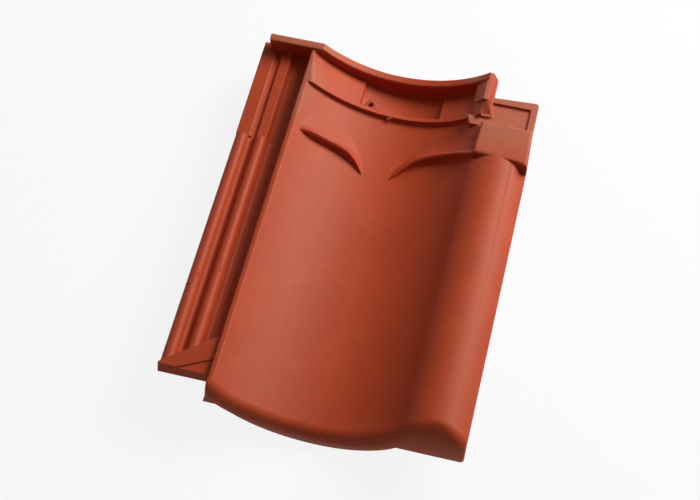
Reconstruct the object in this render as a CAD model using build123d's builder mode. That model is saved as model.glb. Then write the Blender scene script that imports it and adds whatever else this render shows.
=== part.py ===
from build123d import *
from math import asin, acos, degrees, sqrt
import os

# Interlocking clay pantile, fired as one piece. Lengths in millimetres.
# X runs across the tile, Y from the tail up to the head, Z up from the floor it lies on.
# Stations across start at the foot of the gutter's outer edge, stations along at the tail.
# What sits at the head is placed by its gap to the head, what sits beside the roll by its
# gap to the turn, the line where the hollow of the trough turns into the roll.

# overall
tile_width = 259.7
tile_length = 360.0
wall = 11.0
gutter_flare = 4.0
gutter_flare_tail = 0.8
roll_taper = 1.7

# pan edge and trough, its lowest line at a share of the way from shoulder to crest
pan_edge_x = 42.5
pan_edge_z = 51.5
pan_edge_round = 2.5
pan_wall_round = 1.5
pan_edge_drop = 16.5
shoulder_width = 4.6
trough_floor = 16.5
trough_share = 0.472

# roll on the right that covers the neighbour's gutter
crest_z = 59.5
roll_radius = 34.0
roll_reach_share = 0.7795
roll_side_round = 3.0
skirt_bottom = 40.0
skirt_wall = 9.0
cover_gap = 8.2
cover_top = 48.0
cover_round = 3.5

# closed and rounded tail
lip_thickness = 9.0
lip_flat = 12.6
lip_edge_z = 33.0
lip_flare = 1.5
roll_front_bottom = 28.5
nose_depth = 24.0
nose_top = 61.5
nose_swell = 38.0
nose_bend = 56.0
nose_bend_depth = 3.0
nose_round = 10.0
nose_clear = 1.0

# side gutter, ribs near the tail
gutter_tail = 16.6
gutter_under = 25.5
gutter_root = 60.0
gutter_rise = 5.0
rib_top = 41.5
rib_round = 5.0
groove_round = 3.0
groove_floor = 35.0
deep_floor = 33.5
rib_side_drop = 6.0
rib_one_left = 1.2
rib_one_right = 9.0
groove_left = 12.5
groove_right = 16.5
rib_two_left = 20.0
rib_two_right = 26.0
deep_left = 31.0

# closed end of the gutter
ledge_start = 22.0
ledge_back = 56.0
ledge_z = 46.6
ledge_end_z = 38.5
ledge_lean = 3.5
ledge_bevel = 12.0
crease_left = 13.0
crease_front = 19.5
crease_back = 43.0
crease_depth = 1.2

# nick in the gutter's outer edge
nick_y = 95.5
nick_width = 1.4
nick_length = 4.0
nick_floor = 41.0

# side gutter, flat ribs at the head
flats_length = 104.0
flat_top = 38.0
flat_groove_floor = 34.5
flat_deep_floor = 31.5
flat_one_right = 12.0
flat_groove_left = 15.0
flat_groove_right = 17.4
flat_two_left = 18.8
flat_two_right = 27.0
flat_deep_left = 29.6
flat_round = 1.2

# head rim
rim_depth = 8.0
rim_left = 2.5
rim_z = 53.5
rim_bend = 10.3
rim_low_z = 26.7
rim_shift = 7.0
rim_overlap = 1.5
rim_round = 1.5

# land that falls from the second step to the rim, with its pocket and nail hole
land_gap = 43.5
land_rise = 4.6
land_fall = 2.5
land_bar = 4.5
land_round = 6.0
land_overlap = 1.7
pocket_left = 38.0
pocket_right = 35.0
pocket_depth = 5.0
pocket_round = 3.5
fin_gap = 8.0
fin_length = 9.0
fin_width = 1.6
fin_angle = 40.0
nail_shift = 29.0
nail_gap = 35.5
nail_diameter = 4.6
nail_pad = 10.0
nail_pad_rise = 2.6

# flat plate and flange on the roll
plate_gap = 2.5
plate_head_gap = 87.8
plate_length = 33.8
plate_lean = 1.5
plate_round = 2.5
plate_skew = 2.0
plate_bend = 14.2
plate_hook = 6.5
plate_bulge = 1.2
flange_gap = 21.0
flange_skew = 2.5
flange_z = 50.0
flange_under = 42.0
flange_corner = 3.0
panel_depth = 2.0
panel_back_border = 5.5
panel_right_border = 6.2

# wall at the right end of the rim, with a thin fin running down to the plate
side_wall_gap = 0.8
side_wall_top = 4.4
side_wall_foot = 9.0
side_wall_z = 57.5
side_wall_length = 29.5
side_wall_spread = 8.0
side_wall_spread_z = 48.0
side_fin_inset = 3.4
side_fin_top = 0.8
side_fin_z = 57.2
side_fin_end_z = 48.0
side_fin_length = 13.5
side_fin_lean = 2.7
sill_front_width = 7.5
sill_back_width = 11.0
sill_inset = 2.5
sill_lap = 1.0

# weather bars across the trough: shares of length, of sweep, of rise and of ramp
bar_rise = 8.0
bar_ramp = 40.0
bar_hollow_share = 0.35
bar_sink = 0.8
bar_root = 8.0
bar_bead = 1.6
bar_draft = 1.5
bar_left_inset = 4.8
bar_left_stop = 20.4
bar_left_drop = 4.2
bar_left_sweep = 17.0
bar_left_shares = (
    (0.00, 0.00, -0.05, 1.00),
    (0.12, 0.02, 0.27, 1.00),
    (0.26, 0.04, 0.92, 1.00),
    (0.45, 0.05, 1.00, 1.00),
    (0.65, 0.11, 1.00, 0.90),
    (0.82, 0.34, 0.85, 0.68),
    (0.93, 0.66, 0.50, 0.45),
    (1.00, 1.00, 0.03, 0.25),
)
bar_right_inset = 5.0
bar_right_overlap = 1.7
bar_right_drop = 20.2
bar_right_sweep = 26.0
bar_right_shares = (
    (0.00, 0.00, 0.03, 0.25),
    (0.06, 0.22, 0.45, 0.40),
    (0.15, 0.46, 0.80, 0.55),
    (0.27, 0.73, 1.00, 0.68),
    (0.43, 0.90, 1.00, 0.78),
    (0.64, 0.93, 1.00, 0.84),
    (0.84, 0.85, 1.00, 0.88),
    (1.00, 0.73, 0.90, 0.90),
)

# hanging nibs
nib_width = 26.0
nib_depth = 15.0
nib_spread = 41.0
nib_head_gap = 22.0

overrun = 20.0

roll_x = tile_width - gutter_flare
roll_reach = roll_radius * roll_reach_share
crest_x = roll_x - roll_reach
shoulder_x = pan_edge_x + shoulder_width
trough_x = shoulder_x + (crest_x - shoulder_x) * trough_share
trough_deep = pan_edge_z - trough_floor
trough_radius_left = ((trough_x - shoulder_x)**2 + trough_deep**2) / (2 * trough_deep)
roll_high = crest_z - trough_floor
reach = ((crest_x - trough_x)**2 + roll_high**2) / (2 * roll_high)
trough_radius_right = reach - roll_radius
left_centre_z = trough_floor + trough_radius_left
right_centre_z = trough_floor + trough_radius_right
roll_centre_z = crest_z - roll_radius
turn_share = trough_radius_right / reach
turn_x = trough_x + (crest_x - trough_x) * turn_share
turn_z = right_centre_z + (roll_centre_z - right_centre_z) * turn_share
roll_edge_z = roll_centre_z + sqrt(roll_radius**2 - roll_reach**2)
cover_left = turn_x + cover_gap
under_edge_z = pan_edge_z - pan_edge_drop
under_radius_left = trough_radius_left + wall
under_radius_right = trough_radius_right + wall
under_low = trough_floor - wall
under_left_x = trough_x - sqrt(under_radius_left**2 - (left_centre_z - under_edge_z)**2)
gutter_foot_x = trough_x - sqrt(under_radius_left**2 - (left_centre_z - gutter_under)**2)
cover_foot_z = right_centre_z - sqrt(under_radius_right**2 - (cover_left - trough_x)**2)
cover_corner = min(cover_round, (cover_top - cover_foot_z) / 2)
lip_run = trough_x - pan_edge_x - lip_flat
lip_radius = (lip_run**2 + lip_edge_z**2) / (2 * lip_edge_z)
lip_right_x = trough_x + sqrt(trough_radius_right**2 - (trough_radius_right - roll_front_bottom)**2)
flare_share = (gutter_flare - gutter_flare_tail) / tile_length
gutter_step = tile_length - flats_length
ledge_slant_share = (ledge_back - ledge_start) / pan_edge_x
rim_front = tile_length - rim_depth
land_start = tile_length - land_gap
land_run = rim_front - land_start
land_lift = land_rise + land_fall
land_right = turn_x + land_overlap
plate_left = turn_x + plate_gap
plate_front = tile_length - plate_head_gap
plate_back = plate_front + plate_length
flange_back = tile_length - flange_gap
side_wall_left = turn_x + side_wall_gap
side_wall_right = side_wall_left + side_wall_foot
side_wall_front = tile_length - side_wall_length
nail_x = trough_x - nail_shift
nail_y = tile_length - nail_gap


def across(station):
    return Plane(
        origin=(gutter_flare - tile_width / 2, station - tile_length / 2, 0),
        x_dir=(1, 0, 0),
        z_dir=(0, -1, 0),
    )


def along(station):
    return Plane(
        origin=(station + gutter_flare - tile_width / 2, -tile_length / 2, 0),
        x_dir=(0, 1, 0),
        z_dir=(1, 0, 0),
    )


def level(height):
    return Plane(
        origin=(gutter_flare - tile_width / 2, -tile_length / 2, height),
        x_dir=(1, 0, 0),
        z_dir=(0, 0, 1),
    )


def station_x(spot):
    return spot.X + tile_width / 2 - gutter_flare


def top_z(x):
    if x < shoulder_x:
        return pan_edge_z
    if x < trough_x:
        return left_centre_z - sqrt(trough_radius_left**2 - (trough_x - x)**2)
    if x < turn_x:
        return right_centre_z - sqrt(trough_radius_right**2 - (x - trough_x)**2)
    return roll_centre_z + sqrt(roll_radius**2 - (x - crest_x)**2)


def under_z(x):
    if x < trough_x:
        return left_centre_z - sqrt(under_radius_left**2 - (trough_x - x)**2)
    return right_centre_z - sqrt(under_radius_right**2 - (x - trough_x)**2)


def gutter_edge(y):
    return -gutter_flare_tail - flare_share * y


def left_arc(radius, low, high):
    centre = low + radius
    start = -degrees(acos((centre - high) / radius)) - 90
    CenterArc((trough_x, centre), radius, start, -90 - start)


def right_arc(radius, low, end_x):
    CenterArc((trough_x, low + radius), radius, -90, degrees(asin((end_x - trough_x) / radius)))


def roll_arc():
    start = degrees(acos((turn_x - crest_x) / roll_radius))
    end = degrees(acos((roll_x - crest_x) / roll_radius))
    CenterArc((crest_x, roll_centre_z), roll_radius, start, end - start)


def top_line():
    Line((pan_edge_x, pan_edge_z), (shoulder_x, pan_edge_z))
    left_arc(trough_radius_left, trough_floor, pan_edge_z)
    right_arc(trough_radius_right, trough_floor, turn_x)
    roll_arc()


def arc_end_x(low, high):
    return trough_x - sqrt(trough_radius_left**2 - (low + trough_radius_left - high)**2)


def arc_end_z(low, end_x):
    return low + trough_radius_right - sqrt(trough_radius_right**2 - (end_x - trough_x)**2)


def bar_sections(start, length, front, sweep, shares):
    sections = []
    for place_share, sweep_share, rise_share, ramp_share in shares:
        x = start + length * place_share
        y = front + sweep * sweep_share
        foot = top_z(x)
        top = foot + bar_rise * rise_share
        with BuildSketch(along(x)) as section:
            with BuildLine():
                ramp = bar_ramp * ramp_share
                Polyline(
                    (y + ramp, foot - bar_sink),
                    (y + ramp, foot - bar_root),
                    (y - bar_draft, foot - bar_root),
                    (y, top - bar_bead * rise_share),
                    (y + bar_bead, top),
                )
                Bezier(
                    (y + bar_bead, top),
                    (y + ramp * bar_hollow_share, foot),
                    (y + ramp, foot - bar_sink),
                )
            make_face()
        sections.append(section.sketch)
    return sections


with BuildPart() as left_bar:
    bar_start = pan_edge_x + bar_left_inset
    bar_length = trough_x - bar_left_stop - bar_start
    bar_front = plate_front - bar_left_drop
    loft(bar_sections(bar_start, bar_length, bar_front, -bar_left_sweep, bar_left_shares))

with BuildPart() as right_bar:
    bar_start = trough_x + bar_right_inset
    bar_length = plate_left + bar_right_overlap - bar_start
    bar_front = plate_front - bar_right_drop
    loft(bar_sections(bar_start, bar_length, bar_front, bar_right_sweep, bar_right_shares))

with BuildPart() as land_room:
    # everything above the surface that falls from the second step to the rim
    with BuildSketch(across(rim_front)):
        with BuildLine():
            left_arc(trough_radius_left, trough_floor - land_fall, crest_z)
            right_arc(trough_radius_right, trough_floor - land_fall, land_right)
            Polyline(
                (land_right, arc_end_z(trough_floor - land_fall, land_right)),
                (land_right, crest_z + overrun),
                (arc_end_x(trough_floor - land_fall, crest_z), crest_z + overrun),
                (arc_end_x(trough_floor - land_fall, crest_z), crest_z),
            )
        make_face()
    extrude(amount=sqrt(land_run**2 + land_lift**2), dir=(0, -land_run, land_lift))

with BuildPart() as land:
    # solid under that surface, level with the pan edge on the left
    with BuildSketch(across(rim_front)):
        with BuildLine():
            left_arc(trough_radius_left, trough_floor + land_lift, pan_edge_z)
            right_arc(trough_radius_right, trough_floor + land_lift, land_right)
            Line(
                (land_right, arc_end_z(trough_floor + land_lift, land_right)),
                (land_right, arc_end_z(trough_floor - wall / 2, land_right)),
            )
            right_arc(trough_radius_right, trough_floor - wall / 2, land_right)
            left_arc(trough_radius_left, trough_floor - wall / 2, pan_edge_z - wall)
            Polyline(
                (arc_end_x(trough_floor - wall / 2, pan_edge_z - wall), pan_edge_z - wall),
                (pan_edge_x + pan_wall_round, pan_edge_z - wall),
                (pan_edge_x + pan_wall_round, pan_edge_z),
                (arc_end_x(trough_floor + land_lift, pan_edge_z), pan_edge_z),
            )
        make_face()
    extrude(amount=land_run)
    add(land_room.part, mode=Mode.SUBTRACT)
    land_shoulder = land.edges().sort_by_distance(
        across((land_start + rim_front) / 2).from_local_coords(
            (arc_end_x(trough_floor + (land_rise - land_fall) / 2, pan_edge_z), pan_edge_z, 0)
        )
    )[0]
    fillet(land_shoulder, land_round)

with BuildPart() as pocket:
    # pocket between the second step and the rim
    with BuildSketch(across(rim_front)):
        with BuildLine():
            left_arc(trough_radius_left, trough_floor - pocket_depth, pan_edge_z)
            right_arc(trough_radius_right, trough_floor - pocket_depth, land_right)
            Polyline(
                (land_right, arc_end_z(trough_floor - pocket_depth, land_right)),
                (land_right, crest_z + overrun),
                (arc_end_x(trough_floor - pocket_depth, pan_edge_z), crest_z + overrun),
                (arc_end_x(trough_floor - pocket_depth, pan_edge_z), pan_edge_z),
            )
        make_face()
    extrude(amount=land_run - land_bar)
    with BuildSketch(level(0)):
        with BuildLine():
            Polyline(
                (trough_x - pocket_left, land_start),
                (trough_x + pocket_right, land_start),
                (trough_x + pocket_right, tile_length),
                (trough_x - pocket_left, tile_length),
                close=True,
            )
        make_face()
    extrude(amount=crest_z + overrun, mode=Mode.INTERSECT)

with BuildPart() as plate:
    # flat plate on the roll, its front edge hooked toward the tail on the right
    with BuildSketch(level(turn_z)):
        with BuildLine():
            bend_corner = (roll_x - plate_bend, plate_front - plate_skew)
            hook_corner = (roll_x, plate_front - plate_hook)
            Polyline(
                hook_corner,
                (roll_x - roll_taper, plate_back),
                (plate_left + plate_lean, plate_back),
                (plate_left, plate_front),
                bend_corner,
            )
            SagittaArc(bend_corner, hook_corner, plate_bulge)
        make_face()
    extrude(amount=crest_z - turn_z)
    plate_top = plate.faces().filter_by(Plane.XY).sort_by(Axis.Z)[-1]
    fillet(plate_top.edges(), plate_round)

with BuildPart() as side_wall:
    # wall that carries the rim on along the roll, spreading to a foot on the trough side
    spread_left = side_wall_left - side_wall_spread
    spread_foot_z = top_z(spread_left) - wall / 4
    with BuildSketch(across(tile_length)):
        with BuildLine():
            Polyline(
                (spread_left, spread_foot_z),
                (spread_left, side_wall_spread_z),
                (side_wall_left, side_wall_z),
                (side_wall_left + side_wall_top, side_wall_z),
                (side_wall_right, flange_z - panel_depth),
                (side_wall_right, flange_under),
                close=True,
            )
        make_face()
    extrude(amount=side_wall_length)
    # thin fin before it, sloping down and leaning outward
    with BuildSketch(across(side_wall_front)):
        with BuildLine():
            Polyline(
                (spread_left, side_wall_spread_z),
                (side_wall_left + side_fin_inset, side_fin_z),
                (side_wall_left + side_fin_inset + side_fin_top, side_fin_z),
                (side_wall_right, flange_z - panel_depth),
                (side_wall_right, flange_under),
                (spread_left, spread_foot_z),
                close=True,
            )
        make_face()
    fin_run = sqrt(side_fin_length**2 + side_fin_lean**2)
    extrude(amount=fin_run, dir=(side_fin_lean, -side_fin_length, 0))
    with BuildSketch(along(0)):
        with BuildLine():
            Polyline(
                (side_wall_front - side_fin_length, side_fin_end_z),
                (side_wall_front, side_fin_z),
                (side_wall_front, crest_z),
                (side_wall_front - side_fin_length, crest_z),
                close=True,
            )
        make_face()
    extrude(amount=tile_width, mode=Mode.SUBTRACT)

with BuildPart() as ledge:
    # closed end of the gutter, its back edge on a slant across the ribs
    with BuildSketch(level(gutter_under + gutter_rise)):
        with BuildLine():
            Polyline(
                (gutter_edge(gutter_tail), gutter_tail),
                (pan_edge_x + wall, gutter_tail),
                (pan_edge_x + wall, ledge_back + wall * ledge_slant_share),
                (gutter_edge(ledge_start), ledge_start),
                close=True,
            )
        make_face()
    extrude(amount=ledge_z - gutter_under - gutter_rise)

with BuildPart() as gutter:
    # two rounded ribs, falling toward the head
    edge_x = gutter_edge(gutter_step)
    with BuildSketch(across(gutter_step)) as ribs:
        with BuildLine():
            Polyline(
                (edge_x, gutter_under),
                (edge_x, rib_top - rib_side_drop),
                (edge_x + rib_one_left, rib_top),
                (edge_x + rib_one_right, rib_top),
                (edge_x + groove_left, groove_floor),
                (edge_x + groove_right, groove_floor),
                (edge_x + rib_two_left, rib_top),
                (edge_x + rib_two_right, rib_top),
                (edge_x + deep_left, deep_floor),
                (gutter_root, deep_floor),
                (gutter_root, gutter_under),
                close=True,
            )
        make_face()
        for corner_x in (rib_one_left, rib_one_right, rib_two_left, rib_two_right):
            fillet(ribs.vertices().sort_by_distance((edge_x + corner_x, rib_top))[0], rib_round)
        for corner_x in (groove_left, groove_right):
            fillet(ribs.vertices().sort_by_distance((edge_x + corner_x, groove_floor))[0], groove_round)
        fillet(ribs.vertices().sort_by_distance((edge_x + deep_left, deep_floor))[0], groove_round)
    gutter_run = gutter_step - gutter_tail
    gutter_lean = gutter_run * flare_share
    extrude(
        amount=sqrt(gutter_run**2 + gutter_rise**2 + gutter_lean**2),
        dir=(gutter_lean, -gutter_run, gutter_rise),
    )
    add(ledge.part)
    # corner beside the pan, a step lower
    with BuildSketch(level(ledge_z - crease_depth)):
        with BuildLine():
            Polyline(
                (crease_left, crease_front),
                (gutter_root, crease_back),
                (gutter_root, gutter_tail),
                (crease_left, gutter_tail),
                close=True,
            )
        make_face()
    extrude(amount=crease_depth, mode=Mode.SUBTRACT)
    # leaning end face with a bevel under it
    with BuildSketch(along(-gutter_flare)):
        with BuildLine():
            Polyline(
                (gutter_tail + ledge_lean, ledge_z + overrun),
                (gutter_tail + ledge_lean, ledge_z),
                (gutter_tail, ledge_end_z),
                (gutter_tail + ledge_bevel, gutter_under + gutter_rise),
                (gutter_tail + ledge_bevel, gutter_under),
                (gutter_tail - overrun, gutter_under),
                (gutter_tail - overrun, ledge_z + overrun),
                close=True,
            )
        make_face()
    extrude(amount=gutter_flare + gutter_root, mode=Mode.SUBTRACT)
    # nick in the outer edge
    with BuildSketch(level(nick_floor)):
        with BuildLine():
            Polyline(
                (gutter_edge(nick_y) - overrun, nick_y),
                (gutter_edge(nick_y) + nick_length, nick_y),
                (gutter_edge(nick_y) + nick_length, nick_y + nick_width),
                (gutter_edge(nick_y) - overrun, nick_y + nick_width),
                close=True,
            )
        make_face()
    extrude(amount=overrun, mode=Mode.SUBTRACT)
    # flat ribs at the head
    head_x = gutter_edge(tile_length)
    with BuildSketch(across(tile_length)) as flats:
        with BuildLine():
            Polyline(
                (head_x, gutter_under),
                (head_x, flat_top),
                (head_x + flat_one_right, flat_top),
                (head_x + flat_groove_left, flat_groove_floor),
                (head_x + flat_groove_right, flat_groove_floor),
                (head_x + flat_two_left, flat_top),
                (head_x + flat_two_right, flat_top),
                (head_x + flat_deep_left, flat_deep_floor),
                (gutter_root, flat_deep_floor),
                (gutter_root, gutter_under),
                close=True,
            )
        make_face()
        for corner in ((head_x + flat_one_right, flat_top), (head_x + flat_deep_left, flat_deep_floor)):
            fillet(flats.vertices().sort_by_distance(corner)[0], flat_round)
    flat_run = tile_length - gutter_step
    flat_lean = flat_run * flare_share
    extrude(amount=sqrt(flat_run**2 + flat_lean**2), dir=(flat_lean, -flat_run, 0))

with BuildPart() as rim:
    # head rim standing over gutter and trough
    rim_right = side_wall_left + rim_overlap
    rim_bend_x = pan_edge_x + rim_bend
    rim_centre_x = trough_x - rim_shift
    rim_deep = rim_z - rim_low_z
    rim_radius = ((rim_centre_x - rim_bend_x)**2 + rim_deep**2) / (2 * rim_deep)
    rim_centre_z = rim_low_z + rim_radius
    rim_start = -90 - degrees(asin((rim_centre_x - rim_bend_x) / rim_radius))
    rim_end = -90 + degrees(asin((rim_right - rim_centre_x) / rim_radius))
    rim_right_z = rim_centre_z - sqrt(rim_radius**2 - (rim_right - rim_centre_x)**2)
    rim_foot_z = under_z(rim_right)
    with BuildSketch(across(tile_length)):
        with BuildLine():
            Polyline((rim_left, gutter_under), (rim_left, rim_z), (rim_bend_x, rim_z))
            CenterArc((rim_centre_x, rim_centre_z), rim_radius, rim_start, rim_end - rim_start)
            Line((rim_right, rim_right_z), (rim_right, rim_foot_z))
            right_arc(under_radius_right, under_low, rim_right)
            left_arc(under_radius_left, under_low, gutter_under)
            Line((gutter_foot_x, gutter_under), (rim_left, gutter_under))
        make_face()
    extrude(amount=rim_depth)
    top_edges = [
        edge
        for edge in rim.edges().filter_by(Axis.Y, reverse=True)
        if (edge @ 0.5).Z > rim_low_z - rim_round and (edge @ 0).Z > gutter_under + rim_round
    ]
    fillet(top_edges, rim_round)

with BuildPart() as tile:
    # pan, trough and roll
    with BuildSketch(across(rim_front)) as shell:
        with BuildLine():
            top_line()
            Polyline(
                (roll_x, roll_edge_z),
                (roll_x, skirt_bottom),
                (roll_x - skirt_wall, skirt_bottom),
                (roll_x - skirt_wall, cover_top),
                (cover_left, cover_top),
                (cover_left, cover_foot_z),
            )
            right_arc(under_radius_right, under_low, cover_left)
            left_arc(under_radius_left, under_low, under_edge_z)
            Polyline(
                (under_left_x, under_edge_z),
                (pan_edge_x, under_edge_z),
                (pan_edge_x, pan_edge_z),
            )
        make_face()
        fillet(shell.vertices().sort_by_distance((cover_left, cover_top))[0], cover_corner)
        fillet(shell.vertices().sort_by_distance((roll_x - skirt_wall, cover_top))[0], cover_corner)
    extrude(amount=rim_front)
    # tail lip and closed roll end
    with BuildSketch(across(lip_thickness)):
        with BuildLine():
            top_line()
            Polyline(
                (roll_x, roll_edge_z),
                (roll_x, roll_front_bottom),
                (lip_right_x, roll_front_bottom),
            )
            right_arc(trough_radius_right, 0, lip_right_x)
            left_arc(lip_radius, 0, lip_edge_z)
            Polyline(
                (pan_edge_x + lip_flat, lip_edge_z),
                (pan_edge_x - lip_flare, lip_edge_z),
                (pan_edge_x, under_edge_z),
                (pan_edge_x, pan_edge_z),
            )
        make_face()
    extrude(amount=lip_thickness)
    # rounded nose of the tail
    with BuildSketch(along(0)):
        with BuildLine():
            nose = Bezier(
                (0, -nose_clear),
                (0, nose_swell),
                (nose_bend_depth, nose_bend),
                (nose_depth, nose_top),
            )
            Polyline(
                nose @ 1,
                (nose_depth, nose_top + overrun),
                (-overrun, nose_top + overrun),
                (-overrun, -nose_clear),
                nose @ 0,
            )
        make_face()
    extrude(amount=roll_x, mode=Mode.SUBTRACT)
    nose_edges = [
        edge
        for edge in tile.faces().filter_by(GeomType.EXTRUSION)[0].edges()
        if abs((edge @ 0.5).Z - top_z(station_x(edge @ 0.5))) < wall / 4
        and station_x(edge @ 0.5) > shoulder_x
    ]
    fillet(nose_edges, nose_round)
    # narrow level strip along the pan edge
    strip_spot = (pan_edge_x + shoulder_width / 2, pan_edge_z, 0)
    strip = tile.faces().sort_by_distance(across(rim_front / 2).from_local_coords(strip_spot))[0]
    fillet(strip.edges().sort_by(Axis.Y)[:-1].sort_by(Axis.X)[1:], pan_edge_round)
    pan_spot = (pan_edge_x, (pan_edge_z + under_edge_z) / 2, 0)
    pan_side = tile.faces().sort_by_distance(across(rim_front / 2).from_local_coords(pan_spot))[0]
    pan_top = [edge for edge in pan_side.edges() if (edge @ 0.5).Z > pan_edge_z - pan_wall_round]
    fillet(pan_top, pan_wall_round)
    roll_spot = (roll_x, (roll_edge_z + skirt_bottom) / 2, 0)
    roll_side = tile.faces().sort_by_distance(across(rim_front / 2).from_local_coords(roll_spot))[0]
    roll_top = [edge for edge in roll_side.edges() if (edge @ 0.5).Z > roll_edge_z - roll_side_round]
    fillet(roll_top, roll_side_round)
    # roll drawn in beside the plate
    with BuildSketch(level(0)):
        with BuildLine():
            Polyline(
                (roll_x, plate_front - plate_hook),
                (roll_x - roll_taper, plate_back),
                (roll_x - roll_taper, tile_length),
                (roll_x + overrun, tile_length),
                (roll_x + overrun, plate_front - plate_hook),
                close=True,
            )
        make_face()
    extrude(amount=crest_z, mode=Mode.SUBTRACT)
    add(gutter.part)
    add(rim.part)
    # land between the second step and the rim
    add(land_room.part, mode=Mode.SUBTRACT)
    add(land.part)
    add(pocket.part, mode=Mode.SUBTRACT)
    pocket_spot = (trough_x - pocket_left, top_z(trough_x - pocket_left) - land_fall / 2, 0)
    pocket_edge = across((land_start + rim_front) / 2).from_local_coords(pocket_spot)
    fillet(tile.edges().sort_by_distance(pocket_edge)[0], pocket_round)
    add(left_bar.part)
    add(right_bar.part)
    add(plate.part)
    # roll cut down to a flange behind the plate
    with BuildSketch(level(flange_z)):
        with BuildLine():
            Polyline(
                (plate_left, plate_back),
                (roll_x, plate_back),
                (roll_x, tile_length + overrun),
                (plate_left, tile_length + overrun),
                close=True,
            )
        make_face()
    extrude(amount=overrun, mode=Mode.SUBTRACT)
    with BuildSketch(level(flange_under)):
        with BuildLine():
            Polyline(
                (cover_left - wall / 2, plate_back - wall),
                (roll_x - roll_taper, plate_back - wall),
                (roll_x - roll_taper, flange_back + flange_skew),
                (cover_left - wall / 2, flange_back),
                close=True,
            )
        make_face()
    extrude(amount=flange_z - flange_under)
    with BuildSketch(level(0)) as behind:
        with BuildLine():
            Polyline(
                (side_wall_right, plate_back),
                (roll_x, plate_back),
                (roll_x, tile_length + overrun),
                (side_wall_right, tile_length + overrun),
                close=True,
            )
        make_face()
        with BuildLine():
            flange_end = (roll_x - roll_taper, flange_back + flange_skew)
            Polyline(
                (side_wall_right, plate_back),
                (roll_x - roll_taper, plate_back),
                flange_end,
                (side_wall_right, flange_back),
                close=True,
            )
        make_face(mode=Mode.SUBTRACT)
        fillet(behind.vertices().sort_by_distance(flange_end)[0], flange_corner)
    extrude(amount=crest_z + overrun, mode=Mode.SUBTRACT)
    with BuildSketch(level(flange_z - panel_depth)):
        with BuildLine():
            Polyline(
                (side_wall_right, plate_back),
                (roll_x - roll_taper - panel_right_border, plate_back),
                (roll_x - roll_taper - panel_right_border, flange_back - panel_back_border),
                (side_wall_right, flange_back - panel_back_border),
                close=True,
            )
        make_face()
    extrude(amount=panel_depth, mode=Mode.SUBTRACT)
    # level sill before the wall at the right end of the rim, and that wall with its fin
    with BuildSketch(level(flange_z - panel_depth)) as sill:
        with BuildLine():
            Polyline(
                (side_wall_left - sill_front_width, plate_back + sill_inset),
                (side_wall_right, plate_back + sill_inset),
                (side_wall_right, land_start + sill_lap),
                (side_wall_left - sill_back_width, land_start + sill_lap),
                close=True,
            )
        make_face()
    extrude(amount=wall / 2, mode=Mode.SUBTRACT)
    extrude(sill.sketch, amount=-wall)
    add(side_wall.part)
    # small slanting fin across the second step
    with BuildSketch(level(trough_floor)):
        with Locations((trough_x - fin_gap, land_start)):
            Rectangle(fin_length, fin_width, rotation=fin_angle)
    extrude(amount=land_rise)
    # nail hole in a small pad
    with BuildSketch(level(under_z(nail_x) + wall / 4)):
        with Locations((nail_x, nail_y)):
            Circle(nail_pad / 2)
    extrude(amount=top_z(nail_x) + nail_pad_rise - under_z(nail_x) - wall / 4)
    with BuildSketch(level(0)):
        with Locations((nail_x, nail_y)):
            Circle(nail_diameter / 2)
    extrude(amount=crest_z, mode=Mode.SUBTRACT)
    # hanging nibs under the head
    for nib_x in (trough_x - nib_spread, trough_x + nib_spread):
        nib_left = nib_x - nib_width / 2
        nib_right = nib_x + nib_width / 2
        with BuildSketch(across(tile_length - nib_head_gap + nib_depth / 2)):
            with BuildLine():
                Polyline(
                    (nib_left, 0),
                    (nib_right, 0),
                    (nib_right, under_z(nib_right) + wall / 4),
                    (nib_left, under_z(nib_left) + wall / 4),
                    close=True,
                )
            make_face()
        extrude(amount=nib_depth)

os.makedirs("parts", exist_ok=True)
tile.part.label = "roof_tile"
export_step(tile.part, "parts/roof_tile.step")
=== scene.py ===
import bpy
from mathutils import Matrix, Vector


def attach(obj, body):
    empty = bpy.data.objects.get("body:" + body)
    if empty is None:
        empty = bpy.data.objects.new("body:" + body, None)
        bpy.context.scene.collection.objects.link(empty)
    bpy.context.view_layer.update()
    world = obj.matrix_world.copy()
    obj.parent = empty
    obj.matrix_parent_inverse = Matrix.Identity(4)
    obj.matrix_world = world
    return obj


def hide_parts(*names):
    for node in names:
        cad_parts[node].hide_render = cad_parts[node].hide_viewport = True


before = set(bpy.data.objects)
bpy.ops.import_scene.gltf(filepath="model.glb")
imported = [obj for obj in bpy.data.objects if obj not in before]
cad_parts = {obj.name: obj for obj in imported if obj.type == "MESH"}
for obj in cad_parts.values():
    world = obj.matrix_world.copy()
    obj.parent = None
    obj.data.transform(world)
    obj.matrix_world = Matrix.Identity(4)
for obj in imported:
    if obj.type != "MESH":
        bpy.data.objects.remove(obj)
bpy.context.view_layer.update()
scene = bpy.context.scene


def plug(tree, target, value):
    if isinstance(value, Sock):
        tree.links.new(value.socket, target)
    else:
        target.default_value = value


def addNode(tree, kind, settings, sockets):
    node = tree.nodes.new("ShaderNode" + kind)
    for key, value in settings.items():
        setattr(node, key, value)
    for key, value in sockets.items():
        plug(tree, node.inputs[key], value)
    return node


class Sock:
    # one shader socket that takes part in plain Python sums
    def __init__(self, tree, socket):
        self.tree = tree
        self.socket = socket

    def maths(self, operation, left, right):
        node = addNode(self.tree, "Math", {"operation": operation}, {0: left, 1: right})
        return Sock(self.tree, node.outputs[0])

    def __add__(self, other):
        return self.maths("ADD", self, other)

    def __radd__(self, other):
        return self.maths("ADD", other, self)

    def __sub__(self, other):
        return self.maths("SUBTRACT", self, other)

    def __rsub__(self, other):
        return self.maths("SUBTRACT", other, self)

    def __mul__(self, other):
        return self.maths("MULTIPLY", self, other)

    def either(self, other):
        return self.maths("MAXIMUM", self, other)


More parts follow.
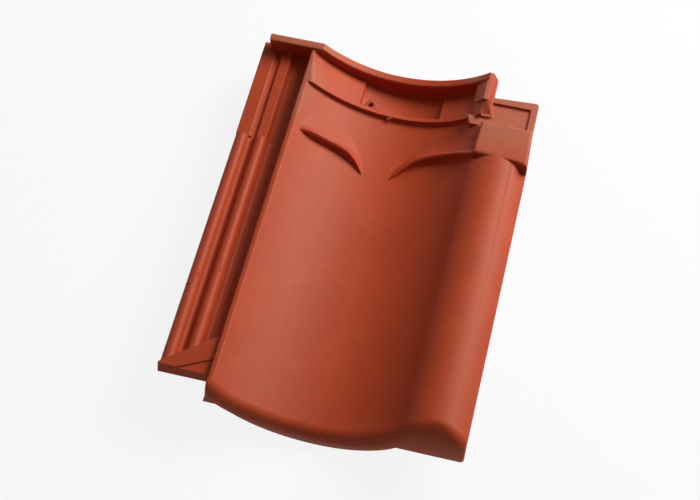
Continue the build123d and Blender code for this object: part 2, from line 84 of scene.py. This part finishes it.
class Finish:
    # a material and its node tree
    def __init__(self, name):
        self.material = bpy.data.materials.new(name)
        self.material.use_nodes = True
        self.tree = self.material.node_tree
        self.shader = self.tree.nodes["Principled BSDF"]
        self.output = self.tree.nodes["Material Output"]

    def add(self, kind, settings, sockets, out=0):
        node = addNode(self.tree, kind, settings, sockets)
        return Sock(self.tree, node.outputs[out])

    def noise(self, where, scale, detail, rough):
        return self.add("TexNoise", {}, {
            "Vector": where, "Scale": scale, "Detail": detail, "Roughness": rough})

    def spread(self, value, low, high):
        # 0 below low, 1 above high, soft between
        return self.add("MapRange", {"interpolation_type": "SMOOTHSTEP"}, {
            "Value": value, "From Min": low, "From Max": high})

    def blend(self, amount, first, second):
        # socket 0 is the factor, 6 and 7 the two colours
        return self.add("Mix", {"data_type": "RGBA"}, {0: amount, 6: first, 7: second}, out=2)

    def surface(self, **sockets):
        for key, value in sockets.items():
            plug(self.tree, self.shader.inputs[key.replace("_", " ")], value)


fired = {
    # clay, what lies on it, and painted light on its level tops
    "red": (0.500, 0.053, 0.0105, 1),
    "brick": (0.458, 0.047, 0.0090, 1),
    "bloom": (0.540, 0.076, 0.023, 1),
    "speck": (0.230, 0.026, 0.008, 1),
    "worn": (0.590, 0.115, 0.046, 1),
    # paler colour for dust and painted top light on upward-facing level tops
    "dustAndTopLight": (0.440, 0.235, 0.145, 1),
    "sheen": (1.0, 0.84, 0.66, 1),   # iron-warm gloss
    "gloss": 0.50,
    # noises: scale, detail, roughness
    "cloud": (16, 3, 0.55),          # firing colour, about 60 mm across
    "patch": (34, 5, 0.62),          # paler patches, about 30 mm
    "grain": (900, 2, 0.6),          # sandy body, about 1 mm
    "streak": (1, 3, 0.6),
    "streakStretch": (240, 9, 90),   # wipe marks that run down the tile
    "dent": (55, 2, 0.5),
    "grogScale": 420,                # dark grains of ground brick
    "grogPick": (210, 0, 0.5),       # which of them show
    # where each mask goes from 0 to 1
    "cloudRise": (0.36, 0.66),
    "patchRise": (0.50, 0.78),
    "streakRise": (0.52, 0.80),
    "streakPolish": (0.45, 0.80),
    "grainRise": (0.46, 0.70),
    "grogSize": (0.10, 0.24),
    "grogPickRise": (0.58, 0.64),
    # mask of the dust and painted top light: facing up, at the head, high up
    "dustAndTopLightUpright": (0.50, 0.96),
    "dustAndTopLightFrom": (0.080, 0.125),      # y of the head, which the next tile covers
    "dustAndTopLightAbove": (0.040, 0.0485),    # z of the tops there
    "edgeTurn": (0.02, 0.30),
    "edgePatch": (0.30, 0.62),
    # how strongly each one tints
    "patchTint": 0.55,
    "streakTint": 0.28,
    "grainTint": 0.22,
    "dustAndTopLightTint": 0.16,
    "dustAndTopLightPatchTint": 0.3,
    "speckTint": 0.55,
    "edgeTint": 0.60,
    # roughness and relief
    "rough": 0.50,
    "cloudRough": 0.06,
    "grainRough": 0.08,
    "streakRough": 0.03,
    "edgeRadius": 0.0014,            # soft arrises
    "edgeSamples": 8,
    "grainHeight": 0.00011,
    "streakHeight": 0.00007,
    "dentHeight": 0.00030,
    "relief": 0.55,
}


def makeClay():
    clay = Finish("firedClay")
    where = clay.add("TexCoord", {}, {}, out=3)
    plain = clay.add("NewGeometry", {}, {}, out=1)
    along = clay.add("Mapping", {}, {"Vector": where, "Scale": fired["streakStretch"]})

    cloud = clay.noise(where, *fired["cloud"])
    patch = clay.noise(where, *fired["patch"])
    grain = clay.noise(where, *fired["grain"])
    streak = clay.noise(along, *fired["streak"])
    dent = clay.noise(where, *fired["dent"])
    grog = clay.add("TexVoronoi", {"feature": "F1"}, {
        "Vector": where, "Scale": fired["grogScale"], "Randomness": 1})
    picked = clay.spread(clay.noise(where, *fired["grogPick"]), *fired["grogPickRise"])
    specks = (1 - clay.spread(grog, *fired["grogSize"])) * picked

    # pale dust and painted top light on the level tops at the head, strongest where they face
    # straight up
    upright = clay.add("SeparateXYZ", {}, {"Vector": plain}, out=2)
    away = clay.add("SeparateXYZ", {}, {"Vector": where}, out=1)
    height = clay.add("SeparateXYZ", {}, {"Vector": where}, out=2)
    dustAndTopLightMask = clay.spread(upright, *fired["dustAndTopLightUpright"]) * clay.spread(away, *fired["dustAndTopLightFrom"])
    dustAndTopLightMask = dustAndTopLightMask * clay.spread(height, *fired["dustAndTopLightAbove"])

    # arrises: where the softened normal leaves the flat one
    soft = clay.add("Bevel", {"samples": fired["edgeSamples"]}, {"Radius": fired["edgeRadius"]})
    facing = clay.add("VectorMath", {"operation": "DOT_PRODUCT"}, {0: soft, 1: plain}, out=1)
    edge = clay.spread(1 - facing, *fired["edgeTurn"]) * clay.spread(patch, *fired["edgePatch"])

    colour = clay.blend(clay.spread(cloud, *fired["cloudRise"]), fired["brick"], fired["red"])
    patched = clay.spread(patch, *fired["patchRise"]) * fired["patchTint"]
    colour = clay.blend(patched, colour, fired["bloom"])
    wiped = clay.spread(streak, *fired["streakRise"]) * fired["streakTint"]
    colour = clay.blend(wiped, colour, fired["brick"])
    sandy = clay.spread(grain, *fired["grainRise"]) * fired["grainTint"]
    colour = clay.blend(sandy, colour, fired["bloom"])
    # paint the pale dust and painted top light on those tops
    dustAndTopLightAmount = dustAndTopLightMask * (patch * fired["dustAndTopLightPatchTint"] + fired["dustAndTopLightTint"])
    colour = clay.blend(dustAndTopLightAmount, colour, fired["dustAndTopLight"])
    colour = clay.blend(specks * fired["speckTint"], colour, fired["speck"])
    colour = clay.blend(edge * fired["edgeTint"], colour, fired["worn"])

    rise = grain * fired["grainHeight"] + streak * fired["streakHeight"]
    rise = rise + dent * fired["dentHeight"] - specks * fired["grainHeight"]
    relief = clay.add("Bump", {}, {
        "Strength": fired["relief"], "Distance": 1, "Height": rise, "Normal": soft})

    rough = fired["rough"] + cloud * fired["cloudRough"] + grain * fired["grainRough"]
    rough = rough - clay.spread(streak, *fired["streakPolish"]) * fired["streakRough"]
    clay.surface(Base_Color=colour, Roughness=rough, Normal=relief)
    clay.surface(Specular_IOR_Level=fired["gloss"], Specular_Tint=fired["sheen"])
    return clay.material


skin = {
    "name": "clayTile",
    "panLow": (0.0072, 0.0165),    # x and z of the trough's lowest line
    "leftRadius": 0.123034,        # pan left of that line
    "rightRadius": 0.094992,       # pan right of it
    "barZone": (0.062, 0.1363),    # y where the weather bars rise out of the pan
    "panZone": (-0.0785, 0.078),   # x of the pan there
    "blendTurn": 0.90,             # a face turned further keeps its own shading
    "rampEase": 1.0,               # share of the pan's shading on the bars' ramps
    "ledgeSide": -0.07235,         # the gutter's end ledge comes through the pan here
    "ledgeTop": 0.0466,
    "ledgeWidth": 0.00108,
    "ledgeZone": (-0.142, -0.114),
    "near": 0.00015,
}


def panCentre(x):
    lowX, lowZ = skin["panLow"]
    radius = skin["leftRadius"] if x < lowX else skin["rightRadius"]
    return lowX, lowZ + radius, radius


def panNormal(spot):
    # way up from the pan, and how far the spot is off it
    x, z, radius = panCentre(spot.x)
    up = Vector((x - spot.x, 0, z - spot.z))
    return up.normalized(), abs(up.length - radius)


def between(value, limits):
    return limits[0] < value < limits[1]


def proudOfPan(spot):
    onSide = abs(spot.x - skin["ledgeSide"]) < skin["near"]
    onTop = abs(spot.z - skin["ledgeTop"]) < skin["near"]
    return onSide and onTop and between(spot.y, skin["ledgeZone"])


def panRows(spots):
    # corners of the pan around the ledge's ridge, left to right at tail and head
    rows = ({}, {})
    right = skin["ledgeSide"] + skin["near"]
    left = skin["ledgeSide"] - skin["ledgeWidth"] - skin["near"]
    middle = sum(skin["ledgeZone"]) / 2
    for index, spot in enumerate(spots):
        inZone = between(spot.x, (left, right)) and between(spot.y, skin["ledgeZone"])
        if inZone and panNormal(spot)[1] < skin["near"]:
            rows[spot.y > middle].setdefault(round(spot.x, 6), index)
    return [[row[x] for x in sorted(row)] for row in rows]


def blended(spot, normal):
    # the bars' ramps run out into the pan with no crease
    up, gap = panNormal(spot)
    inZone = between(spot.y, skin["barZone"]) and between(spot.x, skin["panZone"])
    if not inZone or normal.dot(up) < skin["blendTurn"]:
        return normal
    if gap < skin["near"]:
        return up
    return (normal + up * skin["rampEase"]).normalized()


def makeTile(cad):
    source = cad.data
    spots = [corner.co.copy() for corner in source.vertices]
    ridge = {index for index, spot in enumerate(spots) if proudOfPan(spot)}
    faces = []
    normals = []
    for face in source.polygons:
        corners = list(face.vertices)
        if not ridge.isdisjoint(corners):
            continue
        faces.append(corners)
        for loop, index in zip(face.loop_indices, corners):
            normals.append(blended(spots[index], source.corner_normals[loop].vector.copy()))
    if ridge:
        # pan runs on where the ridge was
        tailRow, headRow = panRows(spots)
        strip = tailRow + headRow[::-1]
        faces.append(strip)
        normals.extend(panNormal(spots[index])[0] for index in strip)
    mesh = bpy.data.meshes.new(skin["name"])
    mesh.from_pydata(spots, [], faces)
    mesh.polygons.foreach_set("use_smooth", [True] * len(faces))
    mesh.normals_split_custom_set(normals)
    mesh.materials.append(makeClay())
    tile = bpy.data.objects.new(skin["name"], mesh)
    scene.collection.objects.link(tile)
    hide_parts("roof_tile")
    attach(tile, "root")
    print("tile skin", len(faces), "faces,", len(ridge), "corners of the ledge's ridge left out")


makeTile(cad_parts["roof_tile"])


studio = {
    "floorHalf": 4.0,
    "floorShade": (0.93, 0.93, 0.93, 1),
    "floorRough": 0.9,
    "white": (1, 1, 1, 1),
    "paper": 0.88,           # share of plain white that the camera sees in the floor
    "sky": 0.02,
    "keyPower": 32.6,
    "keySize": 1.15,
    "keyFrom": (0.57, 0.62, 0.64),
    "keyDistance": 1.7,
}


def backdropRays(tree):
    # 1 where the camera, a reflection or a clear piece looks at the backdrop
    path = addNode(tree, "LightPath", {}, {})
    rays = ("Is Camera Ray", "Is Glossy Ray", "Is Transmission Ray")
    camera, glossy, clear = (Sock(tree, path.outputs[ray]) for ray in rays)
    return camera.either(glossy).either(clear)


def makeFloor():
    half = studio["floorHalf"]
    mesh = bpy.data.meshes.new("floor")
    corners = [(-half, -half, 0), (half, -half, 0), (half, half, 0), (-half, half, 0)]
    mesh.from_pydata(corners, [], [(0, 1, 2, 3)])
    floor = bpy.data.objects.new("floor", mesh)
    scene.collection.objects.link(floor)
    paper = Finish("floorPaper")
    paper.surface(Base_Color=studio["floorShade"], Roughness=studio["floorRough"])
    seen = backdropRays(paper.tree) * studio["paper"]
    lit = Sock(paper.tree, paper.shader.outputs[0])
    plain = paper.add("Emission", {}, {"Color": studio["white"], "Strength": 1})
    mixed = paper.add("MixShader", {}, {0: seen, 1: lit, 2: plain})
    paper.tree.links.new(mixed.socket, paper.output.inputs["Surface"])
    mesh.materials.append(paper.material)


def makeLight():
    world = bpy.data.worlds.new("studio")
    world.use_nodes = True
    tree = world.node_tree
    sky = tree.nodes["Background"]
    sky.inputs["Color"].default_value = studio["white"]
    seen = backdropRays(tree)
    plug(tree, sky.inputs["Strength"], seen * (1 - studio["sky"]) + studio["sky"])
    scene.world = world
    lamp = bpy.data.lights.new("key", "AREA")
    lamp.shape = "DISK"
    lamp.energy = studio["keyPower"]
    lamp.size = studio["keySize"]
    key = bpy.data.objects.new("key", lamp)
    toward = Vector(studio["keyFrom"]).normalized()
    key.location = toward * studio["keyDistance"]
    key.rotation_euler = toward.to_track_quat("Z", "Y").to_euler()
    scene.collection.objects.link(key)


makeFloor()
makeLight()
scene.view_settings.view_transform = "Standard"
print("floor and light set")


shot = {
    "aim": (-0.00405, -0.0079, 0.0223),
    "view": (-0.11733, 0.48137, -0.86863),
    "distance": 1.2689,
    "frameWidth": 700,
    "focalPixels": 1473.3,   # focal length in pixels of that frame
    "sensor": 36,
}


def makeCamera():
    lens = bpy.data.cameras.new("photoCamera")
    lens.sensor_fit = "HORIZONTAL"
    lens.sensor_width = shot["sensor"]
    lens.lens = shot["sensor"] * shot["focalPixels"] / shot["frameWidth"]
    camera = bpy.data.objects.new("photoCamera", lens)
    look = Vector(shot["view"])
    camera.location = Vector(shot["aim"]) - look * shot["distance"]
    camera.rotation_euler = look.to_track_quat("-Z", "Y").to_euler()
    scene.collection.objects.link(camera)
    scene.camera = camera
    print("camera at", tuple(camera.location))


makeCamera()
